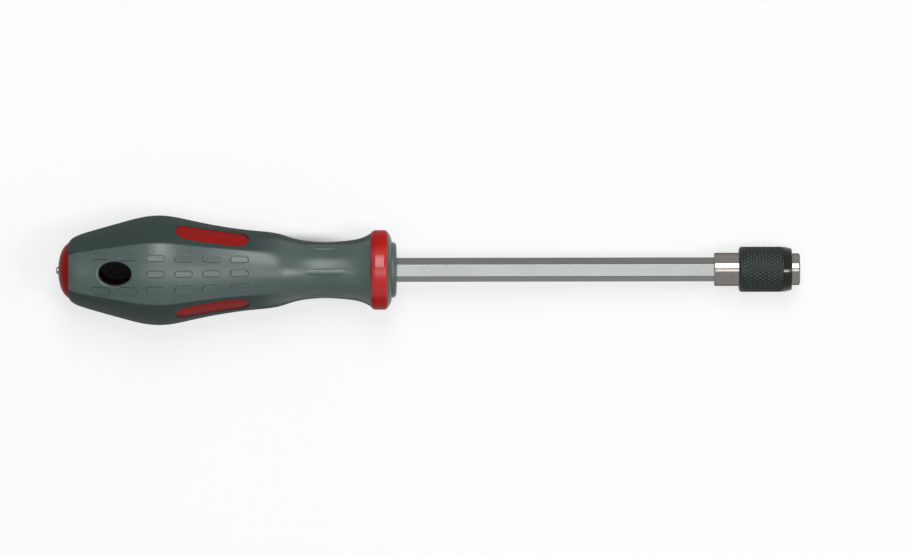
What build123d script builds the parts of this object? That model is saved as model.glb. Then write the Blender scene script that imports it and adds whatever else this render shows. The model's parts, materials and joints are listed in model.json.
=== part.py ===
from build123d import *
from math import atan2, cos, degrees, hypot, radians, sin
import os

os.makedirs("parts", exist_ok=True)

# A long bit-holding screwdriver. The tool lies along X with its nose face at the
# origin and the handle towards -X. The handle's flat front and back face +Z and -Z.
# Every size is in millimetres.

# Blade
hex_flats = 6.35
hex_edge_radius = 0.3
blade_reach = 120.7
shaft_end_chamfer = 0.5
anchor_groove_width = 2.5
anchor_groove_depth = 0.6
anchor_groove_pitch = 8.0
anchor_groove_setback = 6.0
anchor_groove_count = 2

# Chuck body
socket_play = 0.05
nose_wall = 1.1
nose_reach = 2.4
nose_chamfer = 0.4
socket_lead_in = 0.3
socket_lead_in_angle = 45
stop_step = 0.2
body_tail = 7.4
body_chamfer = 0.3
magnet_diameter = 5.0
magnet_length = 3.0
magnet_web = 0.7
magnet_chamfer = 0.2

# Locking balls
ball_bite = 0.4
ball_release_gap = 0.05
ball_seat_clearance = 0.03
ball_to_socket_floor = 3.6

# Release sleeve, spring, washer and snap ring
running_clearance = 0.05
sleeve_length = 15.9
sleeve_wall = 1.1
sleeve_back_round = 1.0
sleeve_taper = 2.5
sleeve_tip_drop = 0.6
sleeve_tip_round_share = 0.9
rear_land = 1.95
pocket_flat = 1.1
front_land = 1.4
spring_room = 0.95
spring_wire = 0.6
spring_wire_sides = 5
spring_coil_gap = 0.7
snap_ring_width = 0.7
snap_ring_inset = 0.4
snap_ring_depth = 0.5
snap_ring_opening = 2.0
snap_ring_clearance = 0.2
washer_thickness = 0.6
washer_clearance = 0.05

# Handle form
bulge_width = 33.0
bulge_thickness = 29.6
grip_length = 90.5
grip_wall = 2.2
grip_end_round = 0.4

# Front ring and nose collar
ring_width = 5.05
ring_crown = 0.95
ring_front_rise = 0.3
ring_front_round = 1.1
ring_back_round = 1.5
collar_diameter = 16.7
collar_shoulder = 1.2
collar_height = 1.7
collar_fall = 0.3
collar_corner_radius = 1.2
collar_spigot_diameter = 11.0
collar_spigot_length = 6.0

# End cap and its pin
cap_height = 3.3
cap_step = 0.15
cap_spigot_diameter = 8.0
cap_spigot_length = 5.0
cap_pin_diameter = 2.2
cap_pin_stand_out = 0.6
cap_pin_bite = 1.0
cap_pin_chamfer = 0.4

# Hanging hole
hole_length = 9.8
hole_width = 7.1
hole_setback = 14.1
hole_lip = 0.6
hole_to_shaft = 14.4
hole_end_share = 0.82

# Red windows in the grip
window_length = 21.9
window_width = 7.0
window_setback = 43.05
window_recess = 0.5
window_lip = 0.35
window_angles = (60, 120, 240, 300)

# Raised pads on the handle's front and back
pad_length = 5.3
pad_width = 1.8
pad_height = 0.4
pad_count = 6
middle_pad_count = 4
first_pad_setback = 51.3
last_pad_setback = 9.8
first_pad_spread = 4.15
pad_lip_gap = 0.1

# Raised ribs round the waist
rib_place_share = 0.851
rib_length = 13.8
rib_height = 0.38
rib_round = 1.75
rib_count = 6

# Handle outline from the end cap to the front ring: share of the grip's length,
# share of the half width, and how far the section has become a hexagon. The round
# stretches keep a trace of it, so that every section has the same twelve arcs.
waist_width_share = 0.511
outline_shares = (
    (0.000, 0.521, 0.02),
    (0.010, 0.582, 0.25),
    (0.030, 0.642, 0.60),
    (0.063, 0.703, 0.90),
    (0.103, 0.767, 1.00),
    (0.182, 0.888, 1.00),
    (0.242, 0.970, 1.00),
    (0.292, 1.000, 1.00),
    (0.341, 0.982, 1.00),
    (0.421, 0.891, 1.00),
    (0.520, 0.788, 1.00),
    (0.600, 0.730, 0.85),
    (0.660, 0.697, 0.55),
    (0.699, 0.658, 0.25),
    (0.739, 0.588, 0.02),
    (0.779, 0.539, 0.02),
    (0.849, waist_width_share, 0.02),
    (0.918, 0.533, 0.02),
    (0.958, 0.567, 0.02),
    (0.984, 0.618, 0.02),
    (1.000, 0.667, 0.02),
)

# Where along the grip the turned core inside it changes its taper
core_turn_shares = (0.000, 0.292, 0.699, 0.849, 1.000)

# The rounded hexagon: directions in which its arcs meet, and two radii as shares
# of the half width. The other two radii follow from the width and the thickness.
corner_end_angle = 20
side_end_angle = 40
crease_end_angle = 70
quarter_turn = 90
half_hexagon_angle = 30
side_corner_share = 0.22
crease_share = 0.08

# Crown of the end cap: share of its height and of its radius where two arcs meet
cap_crown_shares = (0.235, 0.598)

# Places along the blade, from the nose face backwards
sleeve_front = -nose_reach
sleeve_back = sleeve_front - sleeve_length
body_back = sleeve_back - body_tail
sleeve_travel = nose_reach
ball_travel = ball_bite + ball_release_gap
pocket_back = sleeve_back + rear_land
pocket_front = pocket_back + ball_travel + pocket_flat
ball_place = pocket_front + sleeve_travel
spring_seat = ball_place + front_land
snap_ring_front = sleeve_front - snap_ring_inset
snap_ring_back = snap_ring_front - snap_ring_width
washer_back = snap_ring_back - washer_thickness
socket_floor = ball_place - ball_to_socket_floor
magnet_back = socket_floor - magnet_length
shaft_front = magnet_back - magnet_web

# Places along the handle
collar_front = -blade_reach
collar_step = collar_front - collar_height
ring_front = collar_step - collar_shoulder
grip_front = ring_front - ring_width
grip_back = grip_front - grip_length
cap_tip = grip_back - cap_height
hole_place = grip_back + hole_setback
window_place = grip_back + window_setback
rib_place = grip_back + rib_place_share * grip_length
shaft_back = hole_place + hole_length / 2 + hole_to_shaft

# Radii of the chuck
socket_flats = hex_flats + socket_play
socket_corner = socket_flats / 2 / cos(radians(half_hexagon_angle))
nose_radius = socket_corner + nose_wall
body_radius = nose_radius + stop_step
bore_radius = nose_radius + running_clearance
pocket_radius = bore_radius + ball_travel
cavity_radius = nose_radius + spring_room
sleeve_radius = cavity_radius + sleeve_wall
sleeve_tip_radius = sleeve_radius - sleeve_tip_drop
snap_groove_radius = nose_radius - snap_ring_depth
ball_radius = (nose_radius - socket_flats / 2 + ball_bite) / 2
ball_height = nose_radius - ball_radius
ball_seat_radius = ball_radius + ball_seat_clearance

# Radii of the handle
half_width = bulge_width / 2
thickness_share = bulge_thickness / bulge_width
grip_front_radius = outline_shares[-1][1] * half_width
grip_back_radius = outline_shares[0][1] * half_width
ring_front_radius = grip_front_radius + ring_front_rise
ring_crest_radius = grip_front_radius + ring_crown
cap_radius = grip_back_radius - cap_step
rib_crest_radius = waist_width_share * half_width + rib_height
last_pad_spread = hole_width / 2 + hole_lip + pad_lip_gap + pad_width / 2


def full_section_radii(width):
    """Radii of the hexagon's side corner, side face, crease and front face."""
    corner = side_corner_share * width
    crease = crease_share * width
    first, second, third = (
        radians(angle) for angle in (corner_end_angle, side_end_angle, crease_end_angle)
    )
    across = width - corner * (1 - cos(first)) - crease * (cos(second) - cos(third))
    upward = (
        thickness_share * width
        - corner * sin(first)
        - crease * (sin(third) - sin(second))
    )
    side_across, front_across = cos(first) - cos(second), cos(third)
    side_upward, front_upward = sin(second) - sin(first), 1 - sin(third)
    determinant = side_across * front_upward - front_across * side_upward
    side = (across * front_upward - front_across * upward) / determinant
    front = (side_across * upward - side_upward * across) / determinant
    return corner, side, crease, front


def section_arcs(width, hexagon_share):
    """The closed chain of twelve tangent arcs of one handle section.

    Each arc is its centre, its radius, the angle where it starts and its sweep.
    """
    radii = [
        width + hexagon_share * (radius - width) for radius in full_section_radii(width)
    ]
    turns = (corner_end_angle, side_end_angle, crease_end_angle)
    across, upward = width - radii[0], 0
    centres = [(across, upward)]
    for turn, before, after in zip(turns, radii, radii[1:]):
        across += (before - after) * cos(radians(turn))
        upward += (before - after) * sin(radians(turn))
        centres.append((across, upward))
    starts = (-turns[0],) + turns
    ends = turns + (2 * quarter_turn - turns[-1],)
    quadrant = list(zip(centres, radii, starts, ends))
    arcs = []
    for mirrored in (False, True):
        side = quadrant if not mirrored else list(reversed(quadrant[1:3]))
        for (across, upward), radius, start, end in side:
            if mirrored:
                across, start, end = -across, 2 * quarter_turn - end, 2 * quarter_turn - start
            arcs.append((across, upward, radius, start, end - start))
    return arcs + [
        (-across, -upward, radius, start + 2 * quarter_turn, sweep)
        for across, upward, radius, start, sweep in arcs
    ]


def section_height(width_share, hexagon_share):
    """Distance from the axis to the flat front of a handle section."""
    width = width_share * half_width
    return width + hexagon_share * (thickness_share - 1) * width


def handle_form(inset):
    """The handle's form between the end cap and the front ring, drawn in by inset."""
    with BuildPart() as form:
        for length_share, width_share, hexagon_share in outline_shares:
            with BuildSketch(Plane.YZ.offset(grip_back + length_share * grip_length)):
                with BuildLine():
                    width = width_share * half_width - inset
                    for across, upward, radius, start, sweep in section_arcs(
                        width, hexagon_share
                    ):
                        CenterArc((across, upward), radius, start, sweep)
                make_face()
        loft()
    return form.part


outer_form = handle_form(0)
window_form = handle_form(window_recess)

# Hexagon shaft, with turned grooves that anchor it in the handle core
with BuildPart() as shaft:
    with BuildSketch(Plane.YZ.offset(shaft_back)) as shaft_section:
        RegularPolygon(hex_flats / 2, 6, major_radius=False)
        fillet(shaft_section.vertices(), hex_edge_radius)
    extrude(amount=shaft_front - shaft_back)
    with BuildSketch(Plane.XZ):
        with BuildLine():
            end_radius = hex_flats / 2 - shaft_end_chamfer
            Polyline(
                (shaft_back, end_radius),
                (shaft_back, hex_flats),
                (shaft_back + hex_flats - end_radius, hex_flats),
                close=True,
            )
        make_face()
    revolve(axis=Axis.X, mode=Mode.SUBTRACT)
    for groove in range(anchor_groove_count):
        groove_place = shaft_back + anchor_groove_setback + groove * anchor_groove_pitch
        with BuildSketch(Plane.YZ.offset(groove_place)):
            Circle(hex_flats)
            Circle(hex_flats / 2 - anchor_groove_depth, mode=Mode.SUBTRACT)
        extrude(amount=anchor_groove_width, mode=Mode.SUBTRACT)
shaft.part.label = "shaft"
export_step(shaft.part, "parts/shaft.step")

# Chuck body, with its hexagon socket, magnet bore, ball holes and snap-ring groove
with BuildPart() as chuck_body:
    with BuildSketch(Plane.XZ):
        with BuildLine():
            Polyline(
                (0, 0),
                (0, nose_radius - nose_chamfer),
                (-nose_chamfer, nose_radius),
                (snap_ring_front, nose_radius),
                (snap_ring_front, snap_groove_radius),
                (snap_ring_back, snap_groove_radius),
                (snap_ring_back, nose_radius),
                (sleeve_back, nose_radius),
                (sleeve_back, body_radius),
                (body_back + body_chamfer, body_radius),
                (body_back, body_radius - body_chamfer),
                (body_back, 0),
                close=True,
            )
        make_face()
    revolve(axis=Axis.X)
    with BuildSketch(Plane.YZ):
        RegularPolygon(socket_flats / 2, 6, major_radius=False)
    extrude(amount=socket_floor, mode=Mode.SUBTRACT)
    with BuildSketch(Plane.YZ):
        RegularPolygon(socket_flats / 2 + socket_lead_in, 6, major_radius=False)
    extrude(amount=-socket_lead_in, taper=socket_lead_in_angle, mode=Mode.SUBTRACT)
    with BuildSketch(Plane.YZ.offset(socket_floor)):
        Circle(magnet_diameter / 2)
    extrude(amount=magnet_back - socket_floor, mode=Mode.SUBTRACT)
    for side in (1, -1):
        with BuildSketch(Plane.XY.offset(side * ball_height)):
            with Locations((ball_place, 0)):
                Circle(ball_seat_radius)
        extrude(amount=side * body_radius, mode=Mode.SUBTRACT)
        with Locations((ball_place, 0, side * ball_height)):
            Sphere(ball_seat_radius, mode=Mode.SUBTRACT)
    add(shaft.part, mode=Mode.SUBTRACT)
chuck_body.part.label = "chuck_body"
export_step(chuck_body.part, "parts/chuck_body.step")

# Magnet disc at the bottom of the socket
with BuildPart() as magnet:
    with BuildSketch(Plane.YZ.offset(magnet_back)):
        Circle(magnet_diameter / 2)
    extrude(amount=magnet_length)
    chamfer(magnet.faces().sort_by(Axis.X)[-1].edges(), magnet_chamfer)
magnet.part.label = "magnet"
export_step(magnet.part, "parts/magnet.step")

# Two locking balls, which rise out of the socket when the sleeve is pulled forward
with BuildPart() as locking_ball_top:
    with Locations((ball_place, 0, ball_height)):
        Sphere(ball_radius)
locking_ball_top.part.label = "locking_ball_top"
export_step(locking_ball_top.part, "parts/locking_ball_top.step")

with BuildPart() as locking_ball_bottom:
    with Locations((ball_place, 0, -ball_height)):
        Sphere(ball_radius)
locking_ball_bottom.part.label = "locking_ball_bottom"
export_step(locking_ball_bottom.part, "parts/locking_ball_bottom.step")

# Release sleeve: two lands that run on the body, a pocket with a long front cone that
# lets the balls out, and an open cavity for the spring
with BuildPart() as release_sleeve:
    with BuildSketch(Plane.XZ) as sleeve_profile:
        with BuildLine():
            Polyline(
                (sleeve_back, bore_radius),
                (pocket_back, bore_radius),
                (pocket_back + ball_travel, pocket_radius),
                (pocket_front, pocket_radius),
                (ball_place, bore_radius),
                (spring_seat, bore_radius),
                (spring_seat, cavity_radius),
                (sleeve_front, cavity_radius),
                (sleeve_front, sleeve_tip_radius),
                (sleeve_front - sleeve_taper, sleeve_radius),
                (sleeve_back, sleeve_radius),
                close=True,
            )
        make_face()
        corners = sleeve_profile.vertices()
        back_corner = corners.sort_by_distance((sleeve_back, sleeve_radius, 0))[0]
        tip_corner = corners.sort_by_distance((sleeve_front, sleeve_tip_radius, 0))[0]
        fillet(back_corner, sleeve_back_round)
        fillet(tip_corner, sleeve_tip_round_share * (sleeve_wall - sleeve_tip_drop))
    revolve(axis=Axis.X)
release_sleeve.part.label = "release_sleeve"
export_step(release_sleeve.part, "parts/release_sleeve.step")

# Sleeve spring: as many coils as still leave a gap when the sleeve is fully forward
spring_length = washer_back - spring_seat
coil_pitch_when_pressed = spring_wire + spring_coil_gap
spring_turns = int((spring_length - sleeve_travel) / coil_pitch_when_pressed)
spring_radius = (nose_radius + cavity_radius) / 2
with BuildPart() as sleeve_spring:
    with BuildLine() as coil:
        Helix(
            (spring_length - spring_wire) / spring_turns,
            spring_length - spring_wire,
            spring_radius,
            center=(spring_seat + spring_wire / 2, 0, 0),
            direction=(1, 0, 0),
        )
    with BuildSketch(Plane(origin=coil.line @ 0, z_dir=coil.line % 0)):
        RegularPolygon(spring_wire / 2, spring_wire_sides)
    sweep(is_frenet=True)
sleeve_spring.part.label = "sleeve_spring"
export_step(sleeve_spring.part, "parts/sleeve_spring.step")

# Washer that holds the spring in
with BuildPart() as spring_washer:
    with BuildSketch(Plane.YZ.offset(washer_back)):
        Circle(cavity_radius - washer_clearance)
        Circle(nose_radius + washer_clearance, mode=Mode.SUBTRACT)
    extrude(amount=washer_thickness)
spring_washer.part.label = "spring_washer"
export_step(spring_washer.part, "parts/spring_washer.step")

# Open snap ring that carries the washer
with BuildPart() as snap_ring:
    with BuildSketch(Plane.YZ.offset(snap_ring_back)):
        Circle(cavity_radius - snap_ring_clearance)
        Circle(snap_groove_radius, mode=Mode.SUBTRACT)
        Rectangle(
            snap_ring_opening,
            cavity_radius,
            align=(Align.CENTER, Align.MAX),
            mode=Mode.SUBTRACT,
        )
    extrude(amount=snap_ring_width)
snap_ring.part.label = "snap_ring"
export_step(snap_ring.part, "parts/snap_ring.step")

# Nose collar: a disc that falls towards its rim, a shoulder that meets the front ring,
# and a spigot
with BuildPart() as nose_collar:
    with BuildSketch(Plane.XZ) as collar_profile:
        with BuildLine():
            Polyline(
                (collar_front, 0),
                (collar_front - collar_fall, collar_diameter / 2),
                (collar_step, collar_diameter / 2),
            )
            TangentArc(
                (collar_step, collar_diameter / 2),
                (ring_front, ring_front_radius),
                tangent=(0, 1),
            )
            Polyline(
                (ring_front, ring_front_radius),
                (ring_front, collar_spigot_diameter / 2),
                (ring_front - collar_spigot_length, collar_spigot_diameter / 2),
                (ring_front - collar_spigot_length, 0),
                (collar_front, 0),
            )
        make_face()
        collar_corners = collar_profile.vertices().sort_by_distance(
            (collar_front - collar_fall, collar_diameter / 2, 0)
        )
        fillet(collar_corners[0], collar_corner_radius)
    revolve(axis=Axis.X)
    add(shaft.part, mode=Mode.SUBTRACT)
nose_collar.part.label = "nose_collar"
export_step(nose_collar.part, "parts/nose_collar.step")

# Pin on the handle's axis, whose head shows in the middle of the end cap
with BuildPart() as cap_pin:
    with BuildSketch(Plane.YZ.offset(cap_tip - cap_pin_stand_out)):
        Circle(cap_pin_diameter / 2)
    extrude(amount=cap_pin_stand_out + cap_height + cap_spigot_length + cap_pin_bite)
    chamfer(cap_pin.faces().sort_by(Axis.X)[0].edges(), cap_pin_chamfer)
cap_pin.part.label = "cap_pin"
export_step(cap_pin.part, "parts/cap_pin.step")

# End cap: a dome of two arcs, and a spigot in the handle core
with BuildPart() as end_cap:
    with BuildSketch(Plane.XZ):
        with BuildLine():
            crown = TangentArc(
                (cap_tip, 0),
                (
                    cap_tip + cap_crown_shares[0] * cap_height,
                    cap_crown_shares[1] * cap_radius,
                ),
                tangent=(0, 1),
            )
            TangentArc(crown @ 1, (grip_back, cap_radius), tangent=crown % 1)
            Polyline(
                (grip_back, cap_radius),
                (grip_back, cap_spigot_diameter / 2),
                (grip_back + cap_spigot_length, cap_spigot_diameter / 2),
                (grip_back + cap_spigot_length, 0),
                (cap_tip, 0),
            )
        make_face()
    revolve(axis=Axis.X)
    add(cap_pin.part, mode=Mode.SUBTRACT)
end_cap.part.label = "end_cap"
export_step(end_cap.part, "parts/end_cap.step")

# The grip's four windows, and the parts of the core that stand in them
with BuildPart() as windows:
    for angle in window_angles:
        outward = (0, sin(radians(angle)), cos(radians(angle)))
        with BuildSketch(Plane((window_place, 0, 0), x_dir=(1, 0, 0), z_dir=outward)):
            SlotOverall(window_length, window_width)
        extrude(amount=half_width)

with BuildPart() as window_islands:
    add(windows.part)
    add(window_form, mode=Mode.INTERSECT)

core_points = [
    (grip_back + row[0] * grip_length, section_height(*row[1:]) - grip_wall)
    for row in outline_shares
    if row[0] in core_turn_shares
]
with BuildPart() as core_blank:
    with BuildSketch(Plane.XZ):
        with BuildLine():
            Polyline((grip_back, 0), *core_points, (grip_front, 0), close=True)
        make_face()
    revolve(axis=Axis.X)
    add(window_islands.part)

# Hanging hole: an oval of four tangent arcs
hole_end_radius = hole_end_share * hole_width / 2
hole_end_centre = hole_length / 2 - hole_end_radius
side_rise = hole_width / 2 - hole_end_radius
hole_side_centre = (hole_end_centre**2 - side_rise**2) / 2 / side_rise
hole_side_radius = hole_width / 2 + hole_side_centre
end_turn = degrees(atan2(hole_side_centre, hole_end_centre))
side_turn = quarter_turn - end_turn
with BuildPart() as hanging_hole:
    with BuildSketch(Plane((hole_place, 0, 0))):
        with BuildLine():
            for turn in (0, 2 * quarter_turn):
                end_sign = cos(radians(turn))
                CenterArc(
                    (end_sign * hole_end_centre, 0),
                    hole_end_radius,
                    turn - end_turn,
                    2 * end_turn,
                )
                CenterArc(
                    (0, -end_sign * hole_side_centre),
                    hole_side_radius,
                    turn + end_turn,
                    2 * side_turn,
                )
        make_face()
    extrude(amount=bulge_thickness, both=True)

# Handle core: the hard inner handle, with the front ring and the window islands
with BuildPart() as handle_core:
    add(core_blank.part)
    with BuildSketch(Plane.XZ):
        with BuildLine():
            front_crest = (ring_front - ring_front_round, ring_crest_radius)
            back_crest = (grip_front + ring_back_round, ring_crest_radius)
            TangentArc(front_crest, (ring_front, ring_front_radius), tangent=(1, 0))
            Line(front_crest, back_crest)
            TangentArc(back_crest, (grip_front, grip_front_radius), tangent=(-1, 0))
            Polyline(
                (grip_front, grip_front_radius),
                (grip_front, 0),
                (ring_front, 0),
                (ring_front, ring_front_radius),
            )
        make_face()
    revolve(axis=Axis.X)
    add(hanging_hole.part, mode=Mode.SUBTRACT)
    add(shaft.part, mode=Mode.SUBTRACT)
    add(nose_collar.part, mode=Mode.SUBTRACT)
    add(end_cap.part, mode=Mode.SUBTRACT)
    add(cap_pin.part, mode=Mode.SUBTRACT)
handle_core.part.label = "handle_core"
export_step(handle_core.part, "parts/handle_core.step")

# Raised pads: a middle row and two outer rows that spread towards the hanging hole
pad_pitch = (first_pad_setback - last_pad_setback) / (pad_count - 1)
pad_places = []
for row in range(pad_count):
    pad_place = grip_back + first_pad_setback - row * pad_pitch
    spread_share = row / (pad_count - 1)
    spread = first_pad_spread + spread_share * (last_pad_spread - first_pad_spread)
    pad_places += [(pad_place, spread), (pad_place, -spread)]
    if row < middle_pad_count:
        pad_places.append((pad_place, 0))
with BuildPart() as pads:
    for along, across in pad_places:
        crossings = outer_form.find_intersection_points(Axis((along, across, 0), (0, 0, 1)))
        for point, normal in crossings:
            pad_floor = Plane(point, x_dir=(1, 0, 0), z_dir=normal).offset(-grip_wall / 2)
            with BuildSketch(pad_floor):
                SlotOverall(pad_length, pad_width)
            extrude(amount=grip_wall / 2 + pad_height)

# Grip: the soft cover over the core, with rounded lips at the hanging hole and windows
with BuildPart() as grip:
    add(outer_form)
    fillet(grip.faces().sort_by(Axis.X)[0].edges(), grip_end_round)
    add(hanging_hole.part, mode=Mode.SUBTRACT)
    hole_rims = grip.edges(Select.LAST).filter_by(
        lambda edge: abs(edge.center().Z) > grip_wall
    )
    fillet(hole_rims, hole_lip)
    add(windows.part, mode=Mode.SUBTRACT)
    window_rims = grip.edges(Select.LAST).filter_by(
        lambda edge: hypot(edge.center().Y, edge.center().Z) > waist_width_share * half_width
    )
    fillet(window_rims, window_lip)
    add(pads.part)
    with BuildSketch(Plane.YZ.offset(rib_place - rib_length / 2)):
        with PolarLocations(
            rib_crest_radius - rib_round, rib_count, start_angle=half_hexagon_angle
        ):
            Circle(rib_round)
    extrude(amount=rib_length)
    add(core_blank.part, mode=Mode.SUBTRACT)
grip.part.label = "grip"
export_step(grip.part, "parts/grip.step")
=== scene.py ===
"""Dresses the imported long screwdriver: finishes, knurled sleeve, coil spring and studio."""
import json
from math import atan2, ceil, cos, pi, radians, sin, tan

import bpy
from bpy.props import FloatProperty, FloatVectorProperty, IntProperty, PointerProperty
from mathutils import Matrix, Vector


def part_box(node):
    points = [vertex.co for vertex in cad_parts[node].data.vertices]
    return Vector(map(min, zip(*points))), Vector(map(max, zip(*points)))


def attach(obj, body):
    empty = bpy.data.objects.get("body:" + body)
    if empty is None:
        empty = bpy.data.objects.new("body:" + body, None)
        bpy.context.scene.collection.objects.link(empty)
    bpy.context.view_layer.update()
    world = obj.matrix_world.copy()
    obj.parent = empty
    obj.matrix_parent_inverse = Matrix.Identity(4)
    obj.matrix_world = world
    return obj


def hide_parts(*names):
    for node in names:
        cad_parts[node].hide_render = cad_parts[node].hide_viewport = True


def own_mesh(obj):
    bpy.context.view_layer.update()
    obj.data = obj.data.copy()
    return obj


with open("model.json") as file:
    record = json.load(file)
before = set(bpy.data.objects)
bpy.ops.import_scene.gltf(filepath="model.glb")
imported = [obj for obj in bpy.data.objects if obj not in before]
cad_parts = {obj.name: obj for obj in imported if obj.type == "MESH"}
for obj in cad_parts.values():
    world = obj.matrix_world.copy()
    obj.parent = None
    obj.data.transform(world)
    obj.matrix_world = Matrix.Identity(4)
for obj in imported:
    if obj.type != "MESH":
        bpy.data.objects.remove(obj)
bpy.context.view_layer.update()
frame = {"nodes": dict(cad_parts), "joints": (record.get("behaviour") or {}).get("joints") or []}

bl_info = {
    "name": "Long Screwdriver",
    "version": (1, 0, 0),
    "blender": (4, 5, 0),
    "location": "3D View > Sidebar > Screwdriver",
    "description": "Dresses the packed long screwdriver and sets up its studio",
    "category": "Object",
}

mm = 0.001
axis_line = Vector((1, 0, 0))

# Corners of the solids and the sleeve's travel, in metres
sleeve_low, sleeve_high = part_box("release_sleeve")
spring_low, spring_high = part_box("sleeve_spring")
grip_low, grip_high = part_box("grip")
slide = next(joint for joint in frame["joints"] if joint["name"] == "sleeve_slide")
sleeve_travel = slide["range_m"][1]


def length(name, description, default):
    return FloatProperty(
        name=name, description=description, default=default, subtype="DISTANCE", unit="LENGTH"
    )


def tone(name, description, default):
    return FloatVectorProperty(
        name=name, description=description, default=default, subtype="COLOR", min=0, max=1
    )


def share(name, description, default):
    return FloatProperty(
        name=name, description=description, default=default, subtype="FACTOR", min=0, max=1
    )


def angle(name, description, degrees):
    return FloatProperty(
        name=name,
        description=description,
        default=radians(degrees),
        subtype="ANGLE",
        unit="ROTATION",
    )


class HandleFinish(bpy.types.PropertyGroup):
    """Colours and sheen of the handle's plastics"""

    grip_colour: tone("Grip colour", "The soft cover", (0.055, 0.083, 0.077))
    grip_roughness: share("Grip roughness", "Sheen of the soft cover", 0.3)
    # Painted shade: the matt flanks' colour is multiplied by this
    flank_painted_shade: share("Flank shade", "How dark the matt flanks are beside the front", 0.72)
    red_colour: tone("Red colour", "Core, ring, windows and end cap", (0.435, 0.0125, 0.0105))
    red_roughness: share("Red roughness", "Gloss of the hard plastic", 0.22)
    # The windows are darkened evenly, partly for their dark lettering and partly as painted shade
    window_shade: share("Window shade", "How much of the dark tone the windows take", 0.34)
    collar_colour: tone("Collar colour", "Disc at the front of the handle", (0.072, 0.096, 0.091))
    collar_roughness: share("Collar roughness", "Sheen of the collar", 0.36)
    # Painted shade at the seams and the windows' edges, and over the whole end cap
    seam_shade: share("Seam shade", "How much of the dark tone seams and rims take", 0.6)


class SteelFinish(bpy.types.PropertyGroup):
    """Colours and sheen of the bare metal"""

    blade_colour: tone("Blade colour", "Satin plate of the hexagon shaft", (0.158, 0.166, 0.161))
    blade_roughness: share("Blade roughness", "Sheen of the shaft", 0.26)
    chuck_colour: tone("Chuck colour", "Steel of chuck body and cap pin", (0.215, 0.202, 0.186))
    chuck_roughness: share("Chuck roughness", "Polish of the turned steel", 0.1)
    bright_colour: tone("Bright colour", "Magnet, balls, rings and spring", (0.42, 0.42, 0.41))
    bright_roughness: share("Bright roughness", "Polish of the magnet, balls and rings", 0.18)
    wire_roughness: share("Wire roughness", "Polish of the spring's wire", 0.3)


class SleeveForm(bpy.types.PropertyGroup):
    """Shape and finish of the knurled release sleeve"""

    groove_count: IntProperty(
        name="Grooves", description="Knurl grooves each way round", default=42, min=8
    )
    groove_angle: angle("Groove angle", "Slope of the knurl grooves to the axis", 30)
    groove_depth: length("Groove depth", "Depth of the knurl", 0.22 * mm)
    back_round: length("Back round", "Radius of the back edge", 1.0 * mm)
    relief_width: length("Relief width", "Plain groove between the knurl and the taper", 0.4 * mm)
    relief_depth: length("Relief depth", "Depth of the plain groove", 0.2 * mm)
    taper: length("Taper", "Length of the smooth tapered front", 2.5 * mm)
    tip_drop: length("Tip drop", "How much the taper narrows the radius", 0.6 * mm)
    tip_round: length("Tip round", "Radius of the front edge", 0.45 * mm)
    bore: length("Bore", "Radius of the lands that run on the chuck body", 4.845 * mm)
    spring_room: length("Spring room", "Depth of the spring's cavity below the bore", 0.9 * mm)
    pocket_depth: length("Pocket depth", "Depth of the balls' pocket below the bore", 0.45 * mm)
    front_land: length("Front land", "Land between the spring and the pocket's cone", 1.4 * mm)
    cone: length("Cone", "Length of the pocket's cone", 2.4 * mm)
    pocket_flat: length("Pocket flat", "Length of the pocket's floor", 1.1 * mm)
    colour: tone("Colour", "Burnished black", (0.0138, 0.0166, 0.0166))
    roughness: share("Roughness", "Sheen of the burnished black", 0.4)


class SpringForm(bpy.types.PropertyGroup):
    """Shape of the sleeve's spring"""

    wire: length("Wire", "Diameter of the spring wire", 0.6 * mm)
    radius: length("Radius", "From the axis to the middle of the wire", 5.27 * mm)
    turns: FloatProperty(name="Turns", description="Turns of the coil", default=4.5, min=1)


class StudioSetup(bpy.types.PropertyGroup):
    """Floor, room and camera"""

    floor_colour: tone("Floor", "Pale floor", (0.955, 0.96, 0.96))
    floor_size: length("Floor size", "Edge of the square floor", 30.0)
    roll: angle("Camera roll round the tool", "Tilt of the view from straight above", 5)
    pixel: length("Photograph's pixel", "Size that one pixel spans on the tool", 0.3 * mm)
    lens: FloatProperty(name="Lens", description="Focal length in millimetres", default=400, min=20)
    lamp_distance: length("Lamp distance", "From the tool to each soft box", 3.2)
    room_light: FloatProperty(
        name="Room light", description="Strength of the even light", default=0.19, min=0
    )
    backdrop: share("Backdrop", "How pale the room looks to the camera and in reflections", 0.9)
    bounce: share("Floor bounce", "How much of its colour the floor throws on the tool", 0.13)
    glow: share("Floor glow", "How much of the floor's paleness needs no lamp", 0.68)


# Indices of refraction of the moulded plastics, and what a matt side adds to the roughness
silky_ior = 1.45
glossy_ior = 1.42
matt_ior = 1.15
matt_step = 0.2

# Edges of the scene's own meshes stay sharp from this angle
sharp_angle = radians(38)


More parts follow.
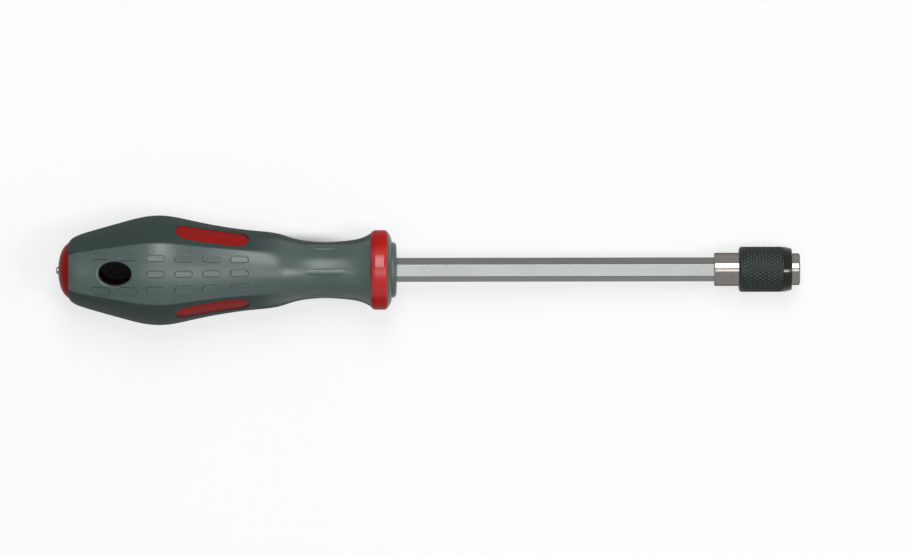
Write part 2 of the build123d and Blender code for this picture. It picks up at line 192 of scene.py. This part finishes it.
class Value:
    """A shader socket that can stand in a Python sum. Each operation adds a Math node."""

    def __init__(self, nodes, socket):
        self.nodes = nodes
        self.socket = socket

    def __getitem__(self, output):
        """Another output of the same node."""
        return Value(self.nodes, self.socket.node.outputs[output])

    def math(self, operation, *operands):
        inputs = dict(enumerate(operands))
        return self.nodes.add("ShaderNodeMath", {"operation": operation}, inputs)

    def __add__(self, other):
        return self.math("ADD", self, other)

    __radd__ = __add__

    def __sub__(self, other):
        return self.math("SUBTRACT", self, other)

    def __rsub__(self, other):
        return self.math("SUBTRACT", other, self)

    def __mul__(self, other):
        return self.math("MULTIPLY", self, other)

    __rmul__ = __mul__

    def __truediv__(self, other):
        return self.math("DIVIDE", self, other)

    def __abs__(self):
        return self.math("ABSOLUTE", self)

    def above(self, other):
        """The larger of the two."""
        return self.math("MAXIMUM", self, other)

    def below(self, other):
        """The smaller of the two."""
        return self.math("MINIMUM", self, other)

    def hypotenuse(self, other):
        """The long side of a right triangle that has these two as its short ones."""
        return self.math("SQRT", self * self + other * other)

    def sway(self, amount):
        """A pattern between 0 and 1 as a change, from minus half the amount to plus half."""
        return (self - 0.5) * amount

    def fade(self, start, end):
        """0 at start, 1 at end, smooth between them, whichever is larger."""
        return self.nodes.add(
            "ShaderNodeMapRange",
            {"interpolation_type": "SMOOTHSTEP"},
            {"Value": self, "From Min": start, "From Max": end},
        )


class Nodes:
    """The nodes of one material, or of the world."""

    def __init__(self, owner):
        self.owner = owner
        owner.use_nodes = True
        self.tree = owner.node_tree
        self.tree.nodes.clear()

    def add(self, kind, settings, inputs, output=0):
        """Adds a node with its settings, then the values or links of its sockets."""
        node = self.tree.nodes.new(kind)
        for name, setting in settings.items():
            setattr(node, name, setting)
        self.feed(node, inputs)
        return Value(self, node.outputs[output]) if node.outputs else None

    def feed(self, node, inputs):
        """Links each Value to its socket, and writes a plain number or colour into it."""
        for name, value in inputs.items():
            socket = node.inputs[name]
            if isinstance(value, Value):
                self.tree.links.new(value.socket, socket)
            elif socket.type == "RGBA":
                socket.default_value = (*value, 1)
            else:
                socket.default_value = value

    def skin(self, **inputs):
        """A Principled shader. Its sockets are named with underscores for spaces."""
        named = {name.replace("_", " "): value for name, value in inputs.items()}
        return self.add("ShaderNodeBsdfPrincipled", {}, named)

    def mixed(self, factor, first, second):
        """The first shader where factor is 0 and the second where it is 1."""
        return self.add("ShaderNodeMixShader", {}, {0: factor, 1: first, 2: second})

    def part_matt(self, matt_share, ior, colour, roughness, normal):
        """A plastic that is shiny where matt_share is 0 and matt where it is 1."""
        shiny = self.skin(IOR=ior, Base_Color=colour, Roughness=roughness, Normal=normal)
        dull = roughness + matt_step
        matt = self.skin(IOR=matt_ior, Base_Color=colour, Roughness=dull, Normal=normal)
        return self.mixed(matt_share, shiny, matt)

    def seen(self):
        """1 for the camera and for reflections of the surface, 0 for its light on matt things."""
        ray = self.add("ShaderNodeLightPath", {}, {}, "Is Camera Ray")
        return (ray + ray["Is Glossy Ray"] + ray["Is Transmission Ray"]).below(1)

    def finish(self, shader):
        """The material, with the shader on its surface."""
        self.add("ShaderNodeOutputMaterial", {}, {"Surface": shader})
        return self.owner

    def place(self):
        """X, Y and Z of the surface's point in the tool's frame, in millimetres."""
        point = self.add("ShaderNodeTexCoord", {}, {}, "Object")
        scaled = self.add(
            "ShaderNodeVectorMath", {"operation": "SCALE"}, {"Vector": point, "Scale": 1 / mm}
        )
        x = self.add("ShaderNodeSeparateXYZ", {}, {"Vector": scaled})
        return x, x["Y"], x["Z"]

    def vector(self, x, y, z):
        return self.add("ShaderNodeCombineXYZ", {}, {"X": x, "Y": y, "Z": z})

    def noise(self, vector, scale, detail):
        """Cloudy values between 0 and 1. The scale is in clouds per millimetre."""
        return self.add(
            "ShaderNodeTexNoise", {}, {"Vector": vector, "Scale": scale, "Detail": detail}
        )

    def blend(self, factor, first, second):
        """The first colour where factor is 0 and the second where it is 1."""
        return self.add("ShaderNodeMix", {"data_type": "RGBA"}, {0: factor, 6: first, 7: second}, 2)

    def mottled(self, pattern, colour, low, high):
        """The colour, times low where the pattern is 0 and times high where it is 1."""
        return self.blend(pattern, shaded(colour, low), shaded(colour, high))

    def bump(self, height):
        """The normal of a surface with this height in millimetres."""
        return self.add("ShaderNodeBump", {}, {"Height": height, "Strength": 1, "Distance": mm})


def shaded(colour, factor):
    """The colour made lighter or darker by a factor."""
    return tuple(min(1, part * factor) for part in colour)


def assign(material, *names):
    """Gives the solids their finish."""
    for name in names:
        slots = frame["nodes"][name].data.materials
        slots.clear()
        slots.append(material)


def new_piece(name, points, faces, material, body, node):
    """A piece that stands for a solid and rides on its body, with the solid hidden."""
    mesh = bpy.data.meshes.new(name)
    mesh.from_pydata(points, [], faces)
    mesh.validate()
    mesh.polygons.foreach_set("use_smooth", [True] * len(mesh.polygons))
    mesh.set_sharp_from_angle(angle=sharp_angle)
    mesh.materials.append(material)
    piece = bpy.data.objects.new(name, mesh)
    bpy.context.scene.collection.objects.link(piece)
    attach(piece, body)
    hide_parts(node)
    return piece


# The handle's places and sizes in millimetres, as the solids have them
grip_back = grip_low.x / mm
grip_front = grip_high.x / mm
pad_rows = 6
middle_rows = 4
pad_pitch = 8.3
first_pad = grip_back + 51.3
pad_run = 5.3
pad_breadth = 1.8
first_spread = 4.15
last_spread = 5.15
collar_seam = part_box("handle_core")[1].x / mm
window_place = grip_back + 43.05
window_run = 21.9
window_breadth = 7.0
window_lean = radians(60)
hole_place = grip_back + 14.1
hole_run = 9.8
hole_breadth = 7.1

# Where the grip's creases have faded into its round waist, and where the core's ring begins
flank_end = grip_back + 67
flank_fade = 14
ring_start = grip_front - 1
ring_fade = 0.5

# The pads lie only on the faces above this height, and nothing is marked at the far distance
pad_face_height = 6
far = 50

# The grip's sides turn matt and take painted shade between these values of |Y| / |Z|: at the creases
# of its flat part, and more slowly on its round waist. The ring loses its gloss on its sides in the
# same way.
crease_lean = (0.67, 0.75)
waist_lean = (1.2, 2.8)
ring_lean = (0.55, 1.0)

# Marks fade between these distances from the edge of a pad, a window or the hole, in millimetres
outline_inside = (-0.2, 0.0)
outline_outside = (0.02, 0.26)
pad_top = (-0.4, -0.15)
grip_rim = (-0.1, 0.4)
core_rim = (-0.35, 0.0)
hole_edge = (0.2, 0.5)

# Widths of the painted shade at the seams on each side, in millimetres
grip_seam_width = 0.45
core_seam_width = 0.3
collar_seam_width = 0.5

# What the dark tones keep of their colour, and how strongly outlines and the hole take theirs. These
# tones are painted shade; in the windows they stand partly for dark lettering as well.
seam_tone = 0.3
grip_seam_tone = 0.35
outline_tone = 0.3
outline_painted_shade = 0.12
window_tone = 0.1
hole_tone = 0.02
hole_painted_shade = 0.94

# Heights of grain and marks, in millimetres
grain_height = 0.009
outline_depth = 0.05
skin_height = 0.008
draw_height = 0.001
turning_height = 0.006

# Marks per millimetre along and across the shaft, and along and across the turned pieces
draw_along, draw_across = 0.06, 6
turning_along, turning_across = 9, 0.15

# What the pads' tops lose of the grip's roughness
pad_polish = 0.05


def pill_distance(along, across, run, breadth):
    """Distance from the edge of a pill with round ends, less than zero inside it."""
    straight = (run - breadth) / 2
    return (abs(along) - straight).above(0).hypotenuse(across) - breadth / 2


def pad_distance(nodes, x, y):
    """Distance from the nearest pad's edge. The outer rows spread towards the hole."""
    row = nodes.add("ShaderNodeMath", {"operation": "ROUND"}, {0: (first_pad - x) / pad_pitch})
    row = row.above(0).below(pad_rows - 1)
    along = x - (first_pad - row * pad_pitch)
    spread = first_spread + row * ((last_spread - first_spread) / (pad_rows - 1))
    outer = pill_distance(along, abs(y) - spread, pad_run, pad_breadth)
    no_middle_pad = row.fade(middle_rows - 0.8, middle_rows - 0.2)
    middle = pill_distance(along, y, pad_run, pad_breadth) + no_middle_pad * far
    return outer.below(middle)


def window_distance(x, y, z):
    """Distance from the edge of the nearest red window."""
    across = abs(y) * cos(window_lean) - abs(z) * sin(window_lean)
    return pill_distance(x - window_place, across, window_run, window_breadth)


def flank_share(x, y, z):
    """1 on the grip's matt sides, which also take painted shade, 0 on its silky front and back."""
    lean = abs(y) / abs(z)
    waist = x.fade(flank_end - flank_fade, flank_end)
    return lean.fade(*crease_lean) * (1 - waist) + lean.fade(*waist_lean) * waist


def seam_at(x, place, width):
    """1 at a seam across the tool, falling to 0 over a width on both its sides."""
    return 1 - abs(x - place).fade(0, width)


def end_seams(x, width):
    """1 at both ends of the grip, where it meets the cap and the ring."""
    return seam_at(x, grip_back, width).above(seam_at(x, grip_front, width))


def grip_material(look):
    """Silky moulded rubber with painted shade: darker flanks, dark lines round the pads, at the
    windows and where it ends.
    """
    nodes = Nodes(bpy.data.materials.new("soft_grip"))
    x, y, z = nodes.place()
    point = nodes.vector(x, y, z)
    grain = nodes.noise(point, scale=3.2, detail=3)
    patches = nodes.noise(point, scale=0.14, detail=3)
    pads = pad_distance(nodes, x, y) + (pad_face_height - abs(z)).above(0) * far
    outline = pads.fade(*outline_inside) * (1 - pads.fade(*outline_outside))
    tops = 1 - pads.fade(*pad_top)
    flanks = flank_share(x, y, z)
    rim = 1 - window_distance(x, y, z).fade(*grip_rim)
    # Painted shade: dark lines at the windows' edges and at both ends of the grip
    painted_seam_shade = rim.above(end_seams(x, grip_seam_width)) * look.seam_shade
    colour = nodes.mottled(patches.fade(0.3, 0.7), look.grip_colour, low=0.94, high=1.06)
    # Painted shade on the flanks, which are matt as well
    colour = nodes.blend(flanks, colour, shaded(look.grip_colour, look.flank_painted_shade))
    # Painted shade in the groove round each pad
    colour = nodes.blend(outline * outline_painted_shade, colour, shaded(look.grip_colour, outline_tone))
    colour = nodes.blend(painted_seam_shade, colour, shaded(look.grip_colour, grip_seam_tone))
    normal = nodes.bump(grain * grain_height - outline * outline_depth)
    roughness = look.grip_roughness - tops * pad_polish + grain.sway(0.12) + patches.sway(0.1)
    return nodes.finish(nodes.part_matt(flanks, silky_ior, colour, roughness, normal))


def red_material(look):
    """Moulded plastic, glossy on the ring. Painted shade darkens the cap, the seams and the hanging
    hole, and darkens the windows, where it stands partly for their lettering.
    """
    nodes = Nodes(bpy.data.materials.new("red_plastic"))
    x, y, z = nodes.place()
    point = nodes.vector(x, y, z)
    flow = nodes.noise(point, scale=0.18, detail=3)
    skin = nodes.noise(point, scale=2.4, detail=2)
    behind_ring = 1 - x.fade(ring_start, ring_start + ring_fade)
    rim = window_distance(x, y, z).fade(*core_rim) * behind_ring
    window = behind_ring * (1 - rim)
    # Painted shade at seams and window edges; rim is also 1 all over the cap, so the whole cap is
    # darkened
    painted_seam_shade = rim.above(end_seams(x, core_seam_width)) * look.seam_shade
    hole = 1 - pill_distance(x - hole_place, y, hole_run, hole_breadth).fade(*hole_edge)
    colour = nodes.mottled(flow.fade(0.3, 0.7), look.red_colour, low=0.93, high=1.06)
    colour = nodes.blend(painted_seam_shade, colour, shaded(look.red_colour, seam_tone))
    # The windows are darkened evenly, partly for their dark lettering and partly as painted shade
    colour = nodes.blend(window * look.window_shade, colour, shaded(look.red_colour, window_tone))
    # Painted shade deep in the hanging hole
    colour = nodes.blend(hole * hole_painted_shade, colour, shaded(look.red_colour, hole_tone))
    roughness = look.red_roughness + flow.sway(0.14) + skin.sway(0.08)
    normal = nodes.bump(skin * skin_height)
    shine = (1 - behind_ring) * (1 - (abs(y) / abs(z)).fade(*ring_lean))
    return nodes.finish(nodes.part_matt(1 - shine, glossy_ior, colour, roughness, normal))


def collar_material(look):
    """Grey moulded plastic, with painted shade where it meets the red ring."""
    nodes = Nodes(bpy.data.materials.new("grey_collar"))
    x, y, z = nodes.place()
    point = nodes.vector(x, y, z)
    flow = nodes.noise(point, scale=0.3, detail=3)
    skin = nodes.noise(point, scale=3.0, detail=2)
    # Painted shade where the collar meets the red ring
    painted_seam_shade = seam_at(x, collar_seam, collar_seam_width) * look.seam_shade
    colour = nodes.mottled(flow, look.collar_colour, low=0.92, high=1.08)
    colour = nodes.blend(painted_seam_shade, colour, shaded(look.collar_colour, seam_tone))
    roughness = look.collar_roughness + flow.sway(0.12)
    normal = nodes.bump(skin * skin_height)
    return nodes.finish(nodes.skin(IOR=1.4, Base_Color=colour, Roughness=roughness, Normal=normal))


def blade_material(look):
    """Satin plate with fine draw marks along the bar."""
    nodes = Nodes(bpy.data.materials.new("satin_blade"))
    x, y, z = nodes.place()
    stretched = nodes.vector(x * draw_along, y * draw_across, z * draw_across)
    drawn = nodes.noise(stretched, scale=1.0, detail=3)
    cloud = nodes.noise(nodes.vector(x, y, z), scale=0.09, detail=2)
    colour = nodes.mottled(drawn, look.blade_colour, low=0.88, high=1.12)
    roughness = look.blade_roughness + drawn.sway(0.1) + cloud.sway(0.1)
    normal = nodes.bump(drawn * draw_height)
    return nodes.finish(
        nodes.skin(Metallic=1.0, Base_Color=colour, Roughness=roughness, Normal=normal)
    )


def turned_material(name, colour, roughness):
    """Steel with fine turning marks round the axis."""
    nodes = Nodes(bpy.data.materials.new(name))
    x, y, z = nodes.place()
    stretched = nodes.vector(x * turning_along, y * turning_across, z * turning_across)
    turned = nodes.noise(stretched, scale=1.0, detail=3)
    return nodes.finish(
        nodes.skin(
            Metallic=1.0,
            Specular_Tint=(0.4, 0.36, 0.33),
            Base_Color=nodes.mottled(turned, colour, low=0.86, high=1.14),
            Roughness=roughness + turned.sway(0.16),
            Normal=nodes.bump(turned * turning_height),
        )
    )


# The black finish wears off the knurl above this part of its height, nowhere less than the least
# share of the full wear. The taper's gloss begins over taper_fade, in millimetres.
worn_crest = (0.5, 1.0)
least_wear = 0.35
taper_fade = 0.2
taper_tone = 0.5

# What wear and the taper take off the roughness, and the clear coat of the knurl and the taper
worn_polish = 0.08
taper_polish = 0.15
knurl_coat = 0.03
taper_coat = 0.27


def sleeve_material(look):
    """Burnished black, rubbed paler on the knurl's points and glossy on the smooth taper."""
    nodes = Nodes(bpy.data.materials.new("black_sleeve"))
    x, y, z = nodes.place()
    crest = nodes.add("ShaderNodeAttribute", {"attribute_name": "crest"}, {}, "Fac")
    rubbed = nodes.noise(nodes.vector(x, y, z), scale=1.1, detail=3)
    wear = crest.fade(*worn_crest) * (least_wear + rubbed.fade(0.3, 0.65) * (1 - least_wear))
    taper_start = (sleeve_high.x - look.taper) / mm
    smooth = x.fade(taper_start - taper_fade, taper_start)
    colour = nodes.mottled(wear, look.colour, low=1.6, high=9.0)
    colour = nodes.blend(smooth, colour, shaded(look.colour, taper_tone))
    polish = wear * worn_polish + smooth * taper_polish
    roughness = look.roughness - polish + rubbed.sway(0.1)
    return nodes.finish(
        nodes.skin(
            Metallic=0.2,
            IOR=1.15,
            Base_Color=colour,
            Roughness=roughness,
            Coat_Weight=smooth * taper_coat + knurl_coat,
            Coat_Roughness=0.06,
            Coat_IOR=1.6,
        )
    )


# How finely the sleeve is meshed
points_per_groove = 6
rows_per_diamond = 8
arc_steps = 8

# The knurl runs out over one twelfth of its length at its back, and one fortieth in front
back_run_out = 12
front_run_out = 40

# Lengths of the two walls of the plain groove in front of the knurl
relief_back_wall = 0.02 * mm
relief_front_wall = 0.08 * mm

# Crest value of the sleeve's plain places, which have no knurl
plain_crest = 0.6


def knurl_height(look, round_share, along):
    """Height between the bottom of the grooves, 0, and the points of the diamonds, 1."""
    slope = tan(look.groove_angle) * look.groove_count / (2 * pi * sleeve_high.z)
    heights = []
    for direction in (1, -1):
        phase = round_share * look.groove_count + direction * along * slope
        heights.append(1 - 2 * abs(phase - round(phase)))
    return min(heights)


def arc(centre_x, centre_radius, radius, start, end):
    """Points of a round edge of the profile, without knurl, by angle from the axis direction."""
    turns = [start + (end - start) * step / arc_steps for step in range(arc_steps + 1)]
    return [(centre_x + radius * cos(turn), centre_radius + radius * sin(turn), 0) for turn in turns]


def sleeve_outside(look):
    """The sleeve's outside from back to front: place, radius, and share of the knurl's depth."""
    outside = sleeve_high.z
    start = sleeve_low.x + look.back_round
    taper_start = sleeve_high.x - look.taper
    knurl_end = taper_start - look.relief_width
    profile = arc(start, outside - look.back_round, look.back_round, pi, pi / 2)
    diamond = 2 * pi * outside / look.groove_count / tan(look.groove_angle)
    rows = ceil((knurl_end - start) / diamond * rows_per_diamond)
    for row in range(1, rows):
        along = row / rows
        depth = min(1, along * back_run_out, (1 - along) * front_run_out)
        profile.append((start + along * (knurl_end - start), outside, depth))
    relief = outside - look.relief_depth
    profile += [
        (knurl_end + relief_back_wall, relief, 0),
        (taper_start - relief_front_wall, relief, 0),
        (taper_start, outside, 0),
    ]
    lean = atan2(look.tip_drop, look.taper)
    reach = look.tip_round / tan((pi / 2 + lean) / 2)
    tip_centre = outside - look.tip_drop - reach
    tip = arc(sleeve_high.x - look.tip_round, tip_centre, look.tip_round, pi / 2 - lean, 0)
    return profile + tip


def sleeve_inside(look):
    """The sleeve's inside from front to back: spring cavity, front land, pocket and rear land."""
    cavity = look.bore + look.spring_room
    pocket = look.bore + look.pocket_depth
    land_end = spring_low.x - look.front_land
    cone_end = land_end - look.cone
    pocket_end = cone_end - look.pocket_flat
    return [
        (sleeve_high.x, cavity, 0),
        (spring_low.x, cavity, 0),
        (spring_low.x, look.bore, 0),
        (land_end, look.bore, 0),
        (cone_end, pocket, 0),
        (pocket_end, pocket, 0),
        (pocket_end - look.pocket_depth, look.bore, 0),
        (sleeve_low.x, look.bore, 0),
    ]


def revolve(rows, count, loss):
    """A closed skin of rows round the axis. loss gives what each point's radius loses."""
    points = []
    for x, radius, depth in rows:
        for step in range(count):
            turn = 2 * pi * step / count
            away = radius - loss(x, step / count, depth)
            points.append((x, away * cos(turn), away * sin(turn)))
    faces = []
    for row in range(len(rows)):
        first, second = row * count, (row + 1) % len(rows) * count
        for step in range(count):
            after = (step + 1) % count
            faces.append((first + step, first + after, second + after, second + step))
    return points, faces


class SCREWDRIVER_OT_grip(bpy.types.Operator):
    """Gives the soft cover its silky grey finish"""

    bl_idname = "screwdriver.grip"
    bl_label = "Grip"

    def execute(self, context):
        assign(grip_material(context.scene.screwdriver_handle), "grip")
        return {"FINISHED"}


class SCREWDRIVER_OT_core(bpy.types.Operator):
    """Gives the hard red plastic of the core and the cap its finish"""

    bl_idname = "screwdriver.core"
    bl_label = "Core and cap"

    def execute(self, context):
        assign(red_material(context.scene.screwdriver_handle), "handle_core", "end_cap")
        return {"FINISHED"}


class SCREWDRIVER_OT_collar(bpy.types.Operator):
    """Gives the nose collar its grey finish"""

    bl_idname = "screwdriver.collar"
    bl_label = "Nose collar"

    def execute(self, context):
        assign(collar_material(context.scene.screwdriver_handle), "nose_collar")
        return {"FINISHED"}


class SCREWDRIVER_OT_blade(bpy.types.Operator):
    """Gives the hexagon shaft its satin plate with draw marks"""

    bl_idname = "screwdriver.blade"
    bl_label = "Blade"

    def execute(self, context):
        assign(blade_material(context.scene.screwdriver_steel), "shaft")
        return {"FINISHED"}


class SCREWDRIVER_OT_chuck(bpy.types.Operator):
    """Gives the chuck body, its small inner parts and the cap's pin their turned steel"""

    bl_idname = "screwdriver.chuck"
    bl_label = "Chuck body and inner parts"

    def execute(self, context):
        look = context.scene.screwdriver_steel
        turned = turned_material("turned_steel", look.chuck_colour, look.chuck_roughness)
        assign(turned, "chuck_body", "cap_pin")
        assign(
            turned_material("bright_steel", look.bright_colour, look.bright_roughness),
            "magnet",
            "locking_ball_top",
            "locking_ball_bottom",
            "spring_washer",
            "snap_ring",
        )
        return {"FINISHED"}


class SCREWDRIVER_OT_sleeve(bpy.types.Operator):
    """Builds the knurled release sleeve in place of its plain solid"""

    bl_idname = "screwdriver.sleeve"
    bl_label = "Release sleeve"

    def execute(self, context):
        look = context.scene.screwdriver_sleeve
        rows = sleeve_outside(look) + sleeve_inside(look)
        count = look.groove_count * points_per_groove

        def height(x, round_share):
            return knurl_height(look, round_share, x - sleeve_low.x)

        def loss(x, round_share, depth):
            return look.groove_depth * depth * (1 - height(x, round_share)) if depth else 0

        points, faces = revolve(rows, count, loss)
        piece = new_piece(
            "knurled_sleeve",
            points,
            faces,
            sleeve_material(look),
            body="sleeve",
            node="release_sleeve",
        )
        crest = piece.data.attributes.new("crest", "FLOAT", "POINT")
        crest.data.foreach_set(
            "value",
            [
                height(x, step / count) if depth else plain_crest
                for x, radius, depth in rows
                for step in range(count)
            ],
        )
        return {"FINISHED"}


# How finely the spring is meshed
rings_per_turn = 40
wire_sides = 10


def coil(look):
    """Points and faces of the spring's wire, with a flat cap at each end."""
    radius = look.wire / 2
    start = spring_low.x + radius
    run = spring_high.x - spring_low.x - look.wire
    rings = round(look.turns * rings_per_turn)
    points = []
    for ring in range(rings + 1):
        part = ring / rings
        turn = 2 * pi * look.turns * part
        outward = Vector((0, cos(turn), sin(turn)))
        centre = Vector((start + run * part, 0, 0)) + look.radius * outward
        for side in range(wire_sides):
            lean = 2 * pi * side / wire_sides
            points.append(centre + radius * (cos(lean) * outward + sin(lean) * axis_line))
    faces = []
    for ring in range(rings):
        first, second = ring * wire_sides, (ring + 1) * wire_sides
        for side in range(wire_sides):
            after = (side + 1) % wire_sides
            faces.append((first + side, second + side, second + after, first + after))
    faces.append(tuple(range(wire_sides)))
    faces.append(tuple(reversed(range(rings * wire_sides, (rings + 1) * wire_sides))))
    return points, faces


class SCREWDRIVER_OT_spring(bpy.types.Operator):
    """Builds the round-wire spring in place of its plain solid"""

    bl_idname = "screwdriver.spring"
    bl_label = "Sleeve spring"

    def execute(self, context):
        steel = context.scene.screwdriver_steel
        points, faces = coil(context.scene.screwdriver_spring)
        piece = new_piece(
            "coil_spring",
            points,
            faces,
            turned_material("spring_wire", steel.bright_colour, steel.wire_roughness),
            body="spring_seat",
            node="sleeve_spring",
        )
        free = spring_high.x - spring_low.x
        (free - sleeve_travel) / free
        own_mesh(piece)
        return {"FINISHED"}


# The photograph's middle on the tool's axis, how many pixels below the axis it lies, the turn of
# the picture, its width in pixels, and how far the camera sees in metres
view_centre = -102.5 * mm
view_drop = 7.2
view_turn = radians(0.1)
photo_width = 913
view_reach = 100

# The floor lies this far below the tool, so that the two don't share a plane
floor_gap = 0.05 * mm

# The floor has a painted shadow under the grip, almost black, as the hanging hole shows it. The
# painted shadow begins at the grip's back over shade_start, and is whole up to shade_core from the
# axis and gone at shade_edge, all in millimetres. There it loses shade_loss of its paleness, and the
# painted shadow's depth sets how much of the rest goes to black_tone of its colour.
shade_start = 10
shade_core = 3
shade_edge = 11
shade_loss = 0.95
painted_shadow_depth = 0.85
black_tone = 0.01

# Digits of a metre to which the lowest points are compared, along the tool and in height
along_digits, height_digits = 5, 6


def resting_line():
    """The two lowest points of the tool in the XZ plane that it rests on, back to front."""
    points = sorted(
        {
            (round(vertex.co.x, along_digits), round(vertex.co.z, height_digits))
            for node in frame["nodes"].values()
            for vertex in node.data.vertices
        }
    )
    hull = []
    for point in points:
        while len(hull) > 1:
            (x1, z1), (x2, z2) = hull[-2:]
            if (x2 - x1) * (point[1] - z1) - (z2 - z1) * (point[0] - x1) > 0:
                break
            hull.pop()
        hull.append(point)
    balance = (grip_low.x + grip_high.x) / 2
    return next((a, b) for a, b in zip(hull, hull[1:]) if a[0] <= balance <= b[0])


# Soft boxes: name, then in degrees the direction round the tool's axis, the lead towards
# the nose and the spans round and along the axis, then the radiance
lamps = (
    ("soft_box_high", 30, 1, 32, 20, 8.0),
    ("soft_box_low", -3.5, 12, 17, 66, 3.4),
    ("soft_box_taper", -4.7, 30.5, 9, 5.5, 25.0),
    ("soft_box_end", 0, 60, 30, 20, 2.0),
)


def lamp(name, aim, distance, direction, lead, width, run, radiance):
    """A soft box that faces the aim. Its angles are in degrees, as in the list above."""
    direction, lead, width, run = map(radians, (direction, lead, width, run))
    towards = Vector((sin(lead), cos(lead) * sin(direction), cos(lead) * cos(direction)))
    along = (axis_line - towards * axis_line.dot(towards)).normalized()
    data = bpy.data.lights.new(name, "AREA")
    data.shape = "RECTANGLE"
    data.size = 2 * distance * tan(run / 2)
    data.size_y = 2 * distance * tan(width / 2)
    data.energy = radiance * pi * data.size * data.size_y
    light = bpy.data.objects.new(name, data)
    turned = Matrix((along, towards.cross(along), towards)).transposed()
    light.matrix_world = Matrix.Translation(aim + towards * distance) @ turned.to_4x4()
    light.visible_camera = False
    bpy.context.scene.collection.objects.link(light)


def floor_material(look):
    """Pale paper that glows a little to the eye, and throws little light on the tool. Under the grip
    it has a painted shadow, nearly black.
    """
    nodes = Nodes(bpy.data.materials.new("pale_floor"))
    nodes.owner.cycles.emission_sampling = "NONE"
    x, y, z = nodes.place()
    paper = nodes.noise(nodes.vector(x, y, z), scale=0.02, detail=2)
    colour = nodes.mottled(paper, look.floor_colour, low=0.995, high=1.005)
    under_grip = x.fade(grip_back, grip_back + shade_start) * (1 - x.fade(flank_end, grip_front))
    under_grip = under_grip * (1 - abs(y).fade(shade_core, shade_edge))
    seen = nodes.seen()
    pale = seen * (1 - under_grip * shade_loss)
    # Painted shadow on the floor under the grip, nearly black for the camera and in reflections
    black = seen * under_grip * painted_shadow_depth
    colour = nodes.blend(pale, shaded(look.floor_colour, look.bounce), colour)
    colour = nodes.blend(black, colour, shaded(look.floor_colour, black_tone))
    lit = nodes.skin(Roughness=0.9, IOR=1.2, Base_Color=colour)
    glow = nodes.add("ShaderNodeEmission", {}, {"Color": colour})
    return nodes.finish(nodes.mixed(seen * (1 - under_grip) * look.glow, lit, glow))


def add_floor(look):
    """The plane that the tool rests on, just below its two lowest points."""
    (x1, z1), (x2, z2) = resting_line()
    slope = (z2 - z1) / (x2 - x1)
    half = look.floor_size / 2
    corners = ((-half, -half), (half, -half), (half, half), (-half, half))
    mesh = bpy.data.meshes.new("floor")
    mesh.from_pydata(
        [(x, y, z1 + (x - x1) * slope - floor_gap) for x, y in corners], [], [(0, 1, 2, 3)]
    )
    mesh.materials.append(floor_material(look))
    floor = bpy.data.objects.new("floor", mesh)
    bpy.context.scene.collection.objects.link(floor)


def add_room(look):
    """An even light all round, pale to the camera and in reflections."""
    room = Nodes(bpy.data.worlds.new("room"))
    strength = look.room_light + room.seen() * (look.backdrop - look.room_light)
    sky = room.add("ShaderNodeBackground", {}, {"Color": (1, 1, 1), "Strength": strength})
    room.add("ShaderNodeOutputWorld", {}, {"Surface": sky})
    bpy.context.scene.world = room.owner


def add_camera(look, aim):
    """Looks down on the aim, rolled round the tool, so that a pixel spans its size there."""
    up = Vector((0, cos(look.roll), -sin(look.roll)))
    back = Vector((0, sin(look.roll), cos(look.roll)))
    data = bpy.data.cameras.new("camera")
    data.lens = look.lens
    data.clip_end = view_reach
    distance = photo_width * look.pixel * look.lens / data.sensor_width
    camera = bpy.data.objects.new("camera", data)
    camera.location = aim - up * (view_drop * look.pixel) + back * distance
    camera.rotation_euler = (-look.roll, 0, -view_turn)
    bpy.context.scene.collection.objects.link(camera)
    bpy.context.scene.camera = camera


class SCREWDRIVER_OT_studio(bpy.types.Operator):
    """Sets the pale floor under the tool, the soft lights and the camera"""

    bl_idname = "screwdriver.studio"
    bl_label = "Studio"

    def execute(self, context):
        look = context.scene.screwdriver_studio
        aim = Vector((view_centre, 0, 0))
        add_floor(look)
        for name, *angles_and_radiance in lamps:
            lamp(name, aim, look.lamp_distance, *angles_and_radiance)
        add_room(look)
        add_camera(look, aim)
        context.scene.view_settings.view_transform = "Standard"
        return {"FINISHED"}


class SCREWDRIVER_PT_panel(bpy.types.Panel):
    """Lists the steps in the 3D view's sidebar"""

    bl_idname = "SCREWDRIVER_PT_panel"
    bl_label = "Long screwdriver"
    bl_space_type = "VIEW_3D"
    bl_region_type = "UI"
    bl_category = "Screwdriver"

    def draw(self, context):
        for operator in operators:
            self.layout.operator(operator.bl_idname)


groups = {
    "screwdriver_handle": HandleFinish,
    "screwdriver_steel": SteelFinish,
    "screwdriver_sleeve": SleeveForm,
    "screwdriver_spring": SpringForm,
    "screwdriver_studio": StudioSetup,
}
operators = (
    SCREWDRIVER_OT_grip,
    SCREWDRIVER_OT_core,
    SCREWDRIVER_OT_collar,
    SCREWDRIVER_OT_blade,
    SCREWDRIVER_OT_chuck,
    SCREWDRIVER_OT_sleeve,
    SCREWDRIVER_OT_spring,
    SCREWDRIVER_OT_studio,
)


def register():
    for name, group in groups.items():
        bpy.utils.register_class(group)
        setattr(bpy.types.Scene, name, PointerProperty(type=group))
    for operator in operators:
        bpy.utils.register_class(operator)
    bpy.utils.register_class(SCREWDRIVER_PT_panel)


def unregister():
    bpy.utils.unregister_class(SCREWDRIVER_PT_panel)
    for operator in reversed(operators):
        bpy.utils.unregister_class(operator)
    for name, group in reversed(groups.items()):
        delattr(bpy.types.Scene, name)
        bpy.utils.unregister_class(group)


def main():
    """Registers the add-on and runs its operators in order."""
    register()
    for operator in operators:
        getattr(bpy.ops.screwdriver, operator.bl_idname.split(".")[1])()


if __name__ == "__main__":
    main()
